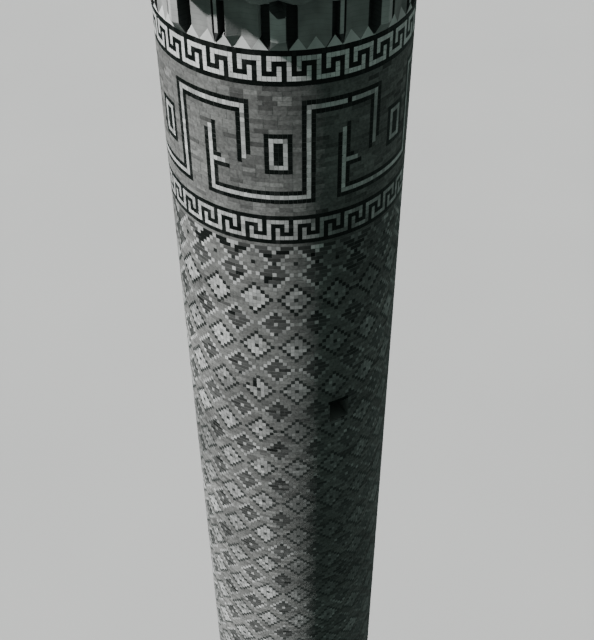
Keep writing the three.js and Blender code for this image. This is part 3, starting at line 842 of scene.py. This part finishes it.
# Bands. Two narrow bands of white glazed fret on black glazed brick close a broad band, where
# a large white fret edged with black runs over buff brick. All are laid in 59.4 mm courses.
BAND_COURSE = 0.0594
LOWER_BAND_FOOT, BROAD_BAND_FOOT, UPPER_BAND_FOOT = 21.345, 21.7608, 23.4834
CORNICE_FOOT = 23.8992
NARROW_FRET = ("#####.", "#...#.", "#.#.#.", "#.#...", "#.####")
NARROW_COURSES = 7
BROAD_PERIOD = 30
BROAD_COURSES = 29
BROAD_STROKES = (
    ((3, 4), (3, 24), (19, 24), (19, 13)),
    ((11, 18), (11, 4), (33, 4)),
    ((25, 11), (28, 11), (28, 17), (25, 17), (25, 11)),
    ((11, 11), (14, 11)),
)
BROAD_ENDS = (((19, 13), (0, -1)), ((11, 18), (0, 1)), ((14, 11), (1, 0)))
LOWER_TONES, UPPER_TONES = {"W": 0.50, "K": 0.0}, {"W": 0.92, "K": 0.0}
BROAD_TONES = {"W": 0.60, "K": 0.05, "b": 0.56, "lost": MIDDLE_TONE}
PALE_MEND_TONE, BLACKENED_TONE = 1.2, 0.0


def broad_pattern():
    """The broad fret on its grid: white strokes one head wide, edged with black on each side."""
    grid = [["b"] * BROAD_PERIOD for _ in range(BROAD_COURSES)]
    line = set()
    for stroke in BROAD_STROKES:
        for (x0, y0), (x1, y1) in zip(stroke, stroke[1:]):
            steps = max(abs(x1 - x0), abs(y1 - y0))
            for i in range(steps + 1):
                line.add((x0 + (x1 - x0) * i // steps, y0 + (y1 - y0) * i // steps))
    wrapped = {(x % BROAD_PERIOD, y) for x, y in line}
    for x, y in wrapped:
        for dx in (-1, 0, 1):
            for dy in (-1, 0, 1):
                grid[y + dy][(x + dx) % BROAD_PERIOD] = "K"
    for x, y in wrapped:
        grid[y][x] = "W"
    for (x, y), (dx, dy) in BROAD_ENDS:
        for across, ahead, colour in ((0, 1, "b"), (1, 1, "b"), (1, 0, "b"), (-1, 1, "K")):
            grid[y + dy * ahead + dx * across][(x + dx * ahead - dy * across) % BROAD_PERIOD] = colour
    return grid


def narrow_colour(cell, course, mirrored):
    """The narrow fret: a black line at its foot and head, and five courses of white strokes."""
    if course in (0, NARROW_COURSES - 1):
        return "K"
    row = NARROW_FRET[len(NARROW_FRET) - course]
    column = cell % len(row)
    return "W" if row[len(row) - 1 - column if mirrored else column] == "#" else "K"


# Marks of age on the broad band, by course: heads lost, blackened, repaired pale or dark.
BROAD_LOST = {12: (-37,), 24: (12,)}
BROAD_PALE = {course: range(-5, -1) for course in (25, 26)}
BROAD_DARK = {25: (-8, -7, -6, -13, -12), 26: (-8, -7, -14, -13, -12, -11), 24: (-7, -6),
              11: (29, 30), 10: (30, 31), 12: (30,)}


def broad_tone(cell, course, kind):
    """The tone of a head in the broad band."""
    if cell in BROAD_PALE.get(course, ()):
        return PALE_MEND_TONE
    return BLACKENED_TONE if cell in BROAD_DARK.get(course, ()) else BROAD_TONES[kind]


broad_grid = broad_pattern()
heads = {kind: [] for kind in HEADS}
for foot, mirrored, fret_tones in ((LOWER_BAND_FOOT, False, LOWER_TONES),
                                   (UPPER_BAND_FOOT, True, UPPER_TONES)):
    for course in range(NARROW_COURSES):
        kinds = [narrow_colour(cell, course, mirrored) for cell in range(CELLS)]
        lay_round(kinds, foot + (course + 0.5) * BAND_COURSE, BRICK_HEIGHT, heads,
                  lambda cell, kind, tones=fret_tones: tones[kind])
for course in range(BROAD_COURSES):
    kinds = [broad_grid[course][cell % BROAD_PERIOD] for cell in range(CELLS)]
    for cell in BROAD_LOST.get(course, ()):
        kinds[cell % CELLS] = "lost"
    lay_round(kinds, BROAD_BAND_FOOT + (course + 0.5) * BAND_COURSE, BRICK_HEIGHT, heads,
              lambda cell, kind, course=course: broad_tone(cell, course, kind))
lay_heads(heads, "band")
finish_nodes(dark_bed, "lower_fret_band", "upper_fret_band")
finish_nodes(mortar, "broad_fret_band")


# Muqarnas cornice. Four tiers of brick and pale lime plaster step out under the gallery. The
# lowest is folded, with slots between its piers and panels and small triangles at its foot.
# The three above are rows of pointed niches. Each tier is cast over the one below.
FIRST_TIER_TOP = CORNICE_FOOT + 0.556
FIRST_PIER_AZIMUTH, PIER_TURN = -2.4, 45.0
SLOT_BACK, FIN_FRONT, NOTCH_FRONT = 1.446, 1.56, 1.6
FOLD_TURNS = (7.0, 7.6)
NEAR_LEVEL, NEAR_FIN, NEAR_SLOT, NEAR_TURN = 0.01, 0.005, 0.02, 1.0
FOLD_ARRIS, NICHE_ARRIS = 0.005, 0.010
FLAT_ANGLE, SHARP_ANGLE, WELD = 0.5, 18.0, 1e-5


def plaster_finish(name, dark, pale, joints):
    """Lime plaster over brick, with the courses just showing through."""
    finish, shader, place = new_finish(name)
    patches = remap(speckle(place, 0.25, 5.0), 0.3, 0.7)
    colour = tint(patches, dark, pale)
    stains = remap(speckle(place, 0.5, 4.0, (1.0, 1.0, 0.25)), 0.45, 0.7, 1.0, 0.72)
    colour = multiply(colour, stains)
    parts = add_node(place, "SeparateXYZ")
    feed(parts.inputs[0], place)
    course = calculate("FRACT", calculate("DIVIDE", parts.outputs["Z"], BAND_COURSE))
    from_bed = calculate("ABSOLUTE", calculate("SUBTRACT", course, 0.5))
    bed = remap(from_bed, 0.40, 0.47, 1.0, 1.0 - joints)
    surface(shader, multiply(colour, bed), 0.9)
    shader.inputs["Diffuse Roughness"].default_value = 0.6
    relief = calculate("ADD", speckle(place, 0.02, 5.0), bed)
    roughen(shader, relief, 0.003)
    return finish


plaster = plaster_finish("lime_plaster", (0.29, 0.29, 0.284), (0.46, 0.46, 0.45), 0.12)
pale_plaster = plaster_finish("pale_plaster", (0.72, 0.72, 0.71), (0.88, 0.88, 0.87), 0.04)
# A paler copy of the lime plaster for the piers and fins: painted light, for the sky and bounced
# light that reaches them where they stand out.
pier_painted_light_plaster = plaster_finish("pier_painted_light_plaster", (0.53, 0.53, 0.52), (0.75, 0.75, 0.74), 0.12)
# Near-black plaster for the slots, the notches and the facets under the fins: painted shade.
slot_shade_plaster = plaster_finish("slot_shade_plaster", (0.06, 0.06, 0.06), (0.10, 0.10, 0.10), 0.3)


def softened(node, easing, segments, paint=None):
    """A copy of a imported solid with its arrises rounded, as plaster leaves them."""
    form = bmesh.new()
    form.from_mesh(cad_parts[node].data)
    bmesh.ops.remove_doubles(form, verts=form.verts, dist=WELD)
    bmesh.ops.dissolve_limit(form, angle_limit=math.radians(FLAT_ANGLE), verts=form.verts,
                             edges=form.edges)
    if paint:
        for face in form.faces:
            face.material_index = paint(face)
    sharp = [edge for edge in form.edges if len(edge.link_faces) == 2
             and edge.calc_face_angle() > math.radians(SHARP_ANGLE)]
    bmesh.ops.bevel(form, geom=sharp, offset=easing, segments=segments, profile=0.5,
                    affect="EDGES", material=-1, clamp_overlap=True)
    return form


def first_tier_finish(face):
    """Panels and skirts 0, pale foot triangles 1, painted shade 2 in slots, notches and under fins,
    or piers' folds and fins 3, in paler plaster as painted light.
    """
    points = [corner.co for corner in face.verts]
    above = [point for point in points if point.z > CORNICE_FOOT + NEAR_LEVEL]
    radii = [math.hypot(point.x, point.y) for point in above]
    turns = [math.degrees(math.atan2(point.x, -point.y)) - FIRST_PIER_AZIMUTH for point in above]
    turns = [abs((turn + PIER_TURN / 2) % PIER_TURN - PIER_TURN / 2) for turn in turns]
    on_foot = len(points) - len(above)
    fin = all(abs(radius - FIN_FRONT) < NEAR_FIN for radius in radii)
    past_slot, at_top = SLOT_BACK + NEAR_SLOT, FIRST_TIER_TOP - NEAR_LEVEL
    in_slot = min(radii, default=FIN_FRONT) < past_slot
    if on_foot == 2 and len(above) == 1 and not in_slot:
        return 0 if turns[0] < NEAR_TURN else 1
    if any(turn < NEAR_TURN and radius < NOTCH_FRONT for turn, radius in zip(turns, radii)):
        return 2
    if min(point.z for point in points) > at_top:
        return 0
    if in_slot and any(point.z > at_top and radius > past_slot
                       and FOLD_TURNS[0] < turn < FOLD_TURNS[1]
                       for point, turn, radius in zip(above, turns, radii)):
        return 3
    if in_slot or (fin and on_foot):
        return 2
    return 3 if (fin or min(radii) > NOTCH_FRONT) and not on_foot else 0


first_tier = softened("muqarnas_tier_1", FOLD_ARRIS, 1, first_tier_finish)
add_piece("muqarnas_tier_1_folds", first_tier,
          (plaster, pale_plaster, slot_shade_plaster, pier_painted_light_plaster), "stucco", "muqarnas_tier_1")
for k in (2, 3, 4):
    tier = softened(f"muqarnas_tier_{k}", NICHE_ARRIS, 2)
    add_piece(f"muqarnas_tier_{k}_niches", tier, plaster, "stucco", f"muqarnas_tier_{k}")


# Gallery floor. A bed of stone slabs carries the walk round the lantern. Its edge shows two
# courses of headers with a dogtooth course between them, all of buff brick.
GALLERY_FOOT, GALLERY_TOP = 26.4152, 26.6252
FLOOR_RADIUS = 2.33
END_HEIGHT, END_WIDTH, END_JOINT = 0.053, 0.112, 0.006
EDGE_BEDS, EDGE_PROUD = (0.030, 0.090, 0.150), (0.006, 0.010)
TOOTH_WIDTH, TOOTH_SETBACK = 0.080, 0.045
TOP_COURSE_TONE = 0.6


def header_course(radius, z, height, width, proud, tone=MIDDLE_TONE):
    """A ring of brick ends round a wall."""
    count = round(2 * math.pi * radius / width)
    ring = []
    for k in range(count):
        right, out = face_axes(360.0 * (k + 0.5) / count)
        length = 2 * math.pi * radius / count - END_JOINT
        ring.append(place_brick(out * (radius + proud) + UP * z, right, UP, length, height,
                                tone=tone))
    return ring


def dogtooth_course(radius, z, height, width):
    """A ring of bricks turned 45 degrees, so that a row of points shows."""
    count = round(2 * math.pi * radius / (width * math.sqrt(2.0)))
    ring = []
    for k in range(count):
        right, out = face_axes(360.0 * k / count)
        turned = (right + out).normalized()
        facing = turned.cross(UP)
        middle = out * radius + facing * width / 2 + UP * z
        ring.append(place_brick(middle, turned, UP, width, height, width))
    return ring


foot_bed, tooth_bed, top_bed = (GALLERY_FOOT + bed for bed in EDGE_BEDS)
gallery_edge = header_course(FLOOR_RADIUS, foot_bed, END_HEIGHT, END_WIDTH, EDGE_PROUD[0])
gallery_edge += dogtooth_course(FLOOR_RADIUS - TOOTH_SETBACK, tooth_bed, END_HEIGHT, TOOTH_WIDTH)
gallery_edge += header_course(FLOOR_RADIUS, top_bed, END_HEIGHT, END_WIDTH, EDGE_PROUD[1],
                              TOP_COURSE_TONE)
lay_bricks("gallery_edge_bricks", gallery_edge, buff, "brick")
finish_nodes(flags, "gallery_floor")


# Parapet. A breast wall half a brick thick, pierced by thirty lancets, built of small buff
# bricks on both faces. Each lancet has narrow brick jambs and a small arch of cut bricks.
PARAPET_OUTER, PARAPET_INNER = 2.29, 2.18
PARAPET_HEIGHT, PARAPET_PROUD = 0.96, 0.003
LANCETS = 30
LANCET_HALF, LANCET_SILL, LANCET_SPRINGING, LANCET_RISE = 0.10, 0.18, 0.42, 0.15
LANCET_FRAME, LANCET_PROUD, LANCET_RING_COURSE = 0.034, 0.008, 0.036
JAMB_JOINT, JAMB_TONE = 0.004, 0.65
PARAPET_LEAST_TURN = 0.5


def round_bond(radius, course, z, holes, least, proud=BRICK_PROUD, facing=1):
    """A course of running bond on a round wall, cut at its holes. Facing is 1 out, -1 in."""
    length = 360.0 / round(2 * math.pi * radius / (BRICK_LENGTH + HEAD_JOINT))
    placed = []
    for a, b in bond(0.0, 360.0, course, length):
        for start, end in clear_of(a, b, holes, least):
            right, out = face_axes((start + end) / 2)
            placed.append(place_brick(
                out * (radius + facing * proud) + UP * z, right * facing, UP,
                math.radians(end - start) * radius - HEAD_JOINT, BRICK_HEIGHT,
                radius=radius * facing))
    return placed


parapet_bricks, lancet_bricks = [], []
lancet_azimuths = [(k + 0.5) * 360.0 / LANCETS for k in range(LANCETS)]
jamb_width = LANCET_FRAME - JAMB_JOINT
for radius, facing in ((PARAPET_OUTER, 1), (PARAPET_INNER, -1)):
    for course in range(round(PARAPET_HEIGHT / COURSE)):
        z = (course + 0.5) * COURSE
        over_springing = z - LANCET_SILL - LANCET_SPRINGING
        gap = LANCET_HALF + LANCET_FRAME
        if over_springing > 0:
            gap = arch_half_width(over_springing, LANCET_HALF, LANCET_RISE, LANCET_FRAME)
        if z < LANCET_SILL:
            gap = 0.0
        half = math.degrees(gap / radius)
        holes = [(azimuth - half, azimuth + half) for azimuth in lancet_azimuths if gap > 0]
        parapet_bricks += round_bond(radius, course, GALLERY_TOP + z, holes, PARAPET_LEAST_TURN,
                                     PARAPET_PROUD, facing)
    jamb = math.degrees((LANCET_HALF + LANCET_FRAME / 2) / radius)
    for azimuth in lancet_azimuths:
        lancet_bricks += arch_ring(azimuth, radius, GALLERY_TOP + LANCET_SILL + LANCET_SPRINGING,
                                   LANCET_HALF, LANCET_RISE, LANCET_FRAME, LANCET_RING_COURSE,
                                   LANCET_PROUD, facing=facing)
        for side in (-1, 1):
            right, out = face_axes(azimuth + side * jamb)
            for course in range(round(LANCET_SPRINGING / COURSE)):
                z = GALLERY_TOP + LANCET_SILL + (course + 0.5) * COURSE
                middle = out * (radius + facing * LANCET_PROUD) + UP * z
                lancet_bricks.append(place_brick(middle, right * facing, UP, jamb_width,
                                                 BRICK_HEIGHT, tone=JAMB_TONE))
lay_bricks("parapet_brickwork", parapet_bricks, buff, "brick")
lay_bricks("parapet_lancet_bricks", lancet_bricks, buff, "brick")
finish_nodes(mortar, *(f"parapet_{k}" for k in range(1, 7)))


# Coping. Thirty-six grey stones with eased arrises cap the parapet, butted end to end and
# bedded in mortar, and throw the rain clear of both faces.
COPING_STONES, COPING_GAP, COPING_ARRIS = 36, 0.06, 0.010
COPING_SECTION = ((2.316, 27.5852), (2.158, 27.5852), (2.316, 27.6452), (2.158, 27.6452))
coping = stone_ring(COPING_STONES, COPING_GAP, COPING_SECTION, COPING_ARRIS)
add_piece("coping_stones", coping, stone, "stone", "parapet_coping")


# Lantern. A round drum of buff brick in running bond, with a doorway at the rear and three
# pointed windows, each under a ring of bricks on edge. Two courses of black heads run above.
LANTERN_RADIUS, LANTERN_INNER, LANTERN_HEIGHT = 1.24, 0.98, 2.45
LANTERN_COURSES, BLACK_COURSES = 40, (33, 36)
BLACK_WIDTH, BLACK_PROUD, BLACK_TONE = 0.108, 0.006, 0.4
WINDOW = (0.21, 0.80, 1.55, 0.29)  # half width, sill, springing, rise
LANTERN_DOOR = (0.32, 0.0, 1.40, 0.40)
LANTERN_OPENINGS = {0.0: WINDOW, 90.0: WINDOW, 270.0: WINDOW, 180.0: LANTERN_DOOR}
LANTERN_RING, LANTERN_RING_COURSE, LANTERN_RING_PROUD = 0.107, 0.055, 0.009
LANTERN_LEAST_TURN = 1.0
lantern_bricks, lantern_black, lantern_arches = [], [], []
for course in range(LANTERN_COURSES):
    z = (course + 0.5) * LANTERN_HEIGHT / LANTERN_COURSES
    if course in BLACK_COURSES:
        lantern_black += header_course(LANTERN_RADIUS, GALLERY_TOP + z, END_HEIGHT, BLACK_WIDTH,
                                       BLACK_PROUD, BLACK_TONE)
        continue
    holes = []
    for azimuth, (half, sill, springing, rise) in LANTERN_OPENINGS.items():
        gap = half
        if z > springing:
            gap = arch_half_width(z - springing, half, rise, LANTERN_RING + RING_CLEAR)
        if z > sill and gap > 0:
            turn = math.degrees(math.asin(gap / LANTERN_RADIUS))
            holes += [(azimuth - turn, azimuth + turn),
                      (azimuth + 360 - turn, azimuth + 360 + turn)]
    lantern_bricks += round_bond(LANTERN_RADIUS, course, GALLERY_TOP + z, holes,
                                 LANTERN_LEAST_TURN)
for azimuth, (half, sill, springing, rise) in LANTERN_OPENINGS.items():
    lantern_arches += arch_ring(azimuth, LANTERN_RADIUS, GALLERY_TOP + springing, half, rise,
                                LANTERN_RING, LANTERN_RING_COURSE, LANTERN_RING_PROUD)
    lantern_arches += reveal_bricks(azimuth, LANTERN_INNER, LANTERN_RADIUS, half,
                                    GALLERY_TOP + sill, GALLERY_TOP + springing, rise)
lay_bricks("lantern_brickwork", lantern_bricks, buff, "brick")
lay_bricks("lantern_black_courses", lantern_black, black, "black_glaze")
lay_bricks("lantern_arch_bricks", lantern_arches, buff, "brick")
finish_nodes(mortar, "lantern_wall", "lantern_door")


# Lantern cornice. Three courses of brick on end step out under the dome, the middle one set
# as dogtooth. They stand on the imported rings, whose finish is the mortar between them.
LANTERN_TOP = GALLERY_TOP + LANTERN_HEIGHT
CORNICE_HEADER, CORNICE_TOOTH, CORNICE_PROUD = 0.058, 0.076, 0.004
CORNICE_COURSES = ((1.285, 0.045, 0.084), (1.315, 0.135, 0.084), (1.40, 0.235, 0.104))
foot_course, tooth_course, top_course = (
    (radius, LANTERN_TOP + z, height) for radius, z, height in CORNICE_COURSES)
cornice_bricks = header_course(*foot_course, CORNICE_HEADER, CORNICE_PROUD)
cornice_bricks += dogtooth_course(*tooth_course, CORNICE_TOOTH)
cornice_bricks += header_course(*top_course, CORNICE_HEADER, CORNICE_PROUD, TOP_COURSE_TONE)
lay_bricks("lantern_cornice_bricks", cornice_bricks, buff, "brick")
finish_nodes(mortar, "lantern_cornice")


# Dome. A pointed shell of brick faced with small glazed tiles in level rings, blue-grey with
# two rings of white at the foot and a zigzag of dark tiles, all bedded in grey mortar.
DOME_FOOT = LANTERN_TOP + 0.29
ARC_OFFSET, ARC_RADIUS, CROWN_RADIUS = 0.40, 1.64, 0.11
TILE, TILE_JOINT, TILE_PROUD, TILE_DEPTH = 0.095, 0.005, 0.004, 0.02
WHITE_RINGS, ZIGZAG_RINGS, ZIGZAG_TILES = (1, 4), (2, 3), 4
LEAST_TILES = 12
dome_glaze = brick_finish("dome_glazed_tile", (0.048, 0.056, 0.060), (0.108, 0.121, 0.128), 0.30,
                          0.0004, (0.15, 0.14, 0.13))
plain_tiles, white_tiles, dark_tiles = [], [], []
top_turn = math.acos((ARC_OFFSET + CROWN_RADIUS) / ARC_RADIUS)
rings = int(ARC_RADIUS * top_turn / TILE)
for ring in range(rings):
    lift = top_turn * (ring + 0.5) / rings
    radius = ARC_RADIUS * math.cos(lift) - ARC_OFFSET
    upper = ARC_RADIUS * math.cos(lift + 0.5 * top_turn / rings) - ARC_OFFSET
    repeats = round(2 * math.pi * radius / (ZIGZAG_TILES * TILE))
    count = max(LEAST_TILES, ZIGZAG_TILES * repeats)
    length = 2 * math.pi * upper / count - TILE_JOINT
    for k in range(count):
        right, out = face_axes(360.0 * (k + 0.5 * (ring % 2)) / count)
        normal = out * math.cos(lift) + UP * math.sin(lift)
        rise = UP * math.cos(lift) - out * math.sin(lift)
        foot = out * radius + UP * (DOME_FOOT + ARC_RADIUS * math.sin(lift))
        tiles = white_tiles if ring in WHITE_RINGS else plain_tiles
        along = (k + (ring == ZIGZAG_RINGS[1])) % ZIGZAG_TILES
        if ring in ZIGZAG_RINGS and along < ZIGZAG_TILES // 2:
            tiles = dark_tiles
        tiles.append(place_brick(foot + normal * TILE_PROUD, right, rise, length,
                                 ARC_RADIUS * top_turn / rings - TILE_JOINT, depth=TILE_DEPTH))
lay_bricks("dome_tiles", plain_tiles, dome_glaze, "dome_glaze")
lay_bricks("dome_white_tiles", white_tiles, white, "white_glaze")
lay_bricks("dome_dark_tiles", dark_tiles, dark_glaze, "blue_glaze")
finish_nodes(mortar, "lantern_dome")


# Finial. Three hollow brass balls threaded on a rod that tapers to a point, its foot let into
# the crown of the dome. The brass is dulled and browned by the weather.
FINIAL_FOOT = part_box("finial")[0][2]
FINIAL_BALLS = ((0.17, 0.11), (0.40, 0.08), (0.58, 0.055))
ROD, BALL_STEPS, FINIAL_SIDES = 0.022, 12, 40
FINIAL_SOCKET = [(0.0, 0.0), (0.060, 0.0), (0.058, 0.012), (0.030, 0.030), (ROD, 0.045)]
FINIAL_TIP = [(0.014, 0.75), (0.0, 0.90)]
profile = FINIAL_SOCKET[:]
for centre, radius in FINIAL_BALLS:
    pole = math.asin(ROD / radius)
    for i in range(BALL_STEPS + 1):
        turn = pole + (math.pi - 2 * pole) * i / BALL_STEPS
        profile.append((radius * math.sin(turn), centre - radius * math.cos(turn)))
finial = bmesh.new()
corners = [finial.verts.new((r, 0.0, FINIAL_FOOT + z)) for r, z in profile + FINIAL_TIP]
outline = [finial.edges.new(pair) for pair in zip(corners, corners[1:])]
bmesh.ops.spin(finial, geom=corners + outline, cent=(0, 0, 0), axis=(0, 0, 1),
               angle=2 * math.pi, steps=FINIAL_SIDES, use_merge=True)
bmesh.ops.remove_doubles(finial, verts=finial.verts, dist=WELD)
bmesh.ops.recalc_face_normals(finial, faces=finial.faces)
for face in finial.faces:
    face.smooth = True
brass, shader, place = new_finish("weathered_brass")
tarnish = remap(speckle(place, 0.05, 5.0), 0.35, 0.65)
surface(shader, tint(tarnish, (0.42, 0.34, 0.21), (0.14, 0.115, 0.08)),
        remap(tarnish, 0.0, 1.0, 0.3, 0.6))
shader.inputs["Metallic"].default_value = 1.0
roughen(shader, speckle(place, 0.02, 3.0), 0.0008)
add_piece("finial_balls", finial, brass, "brass", "finial")
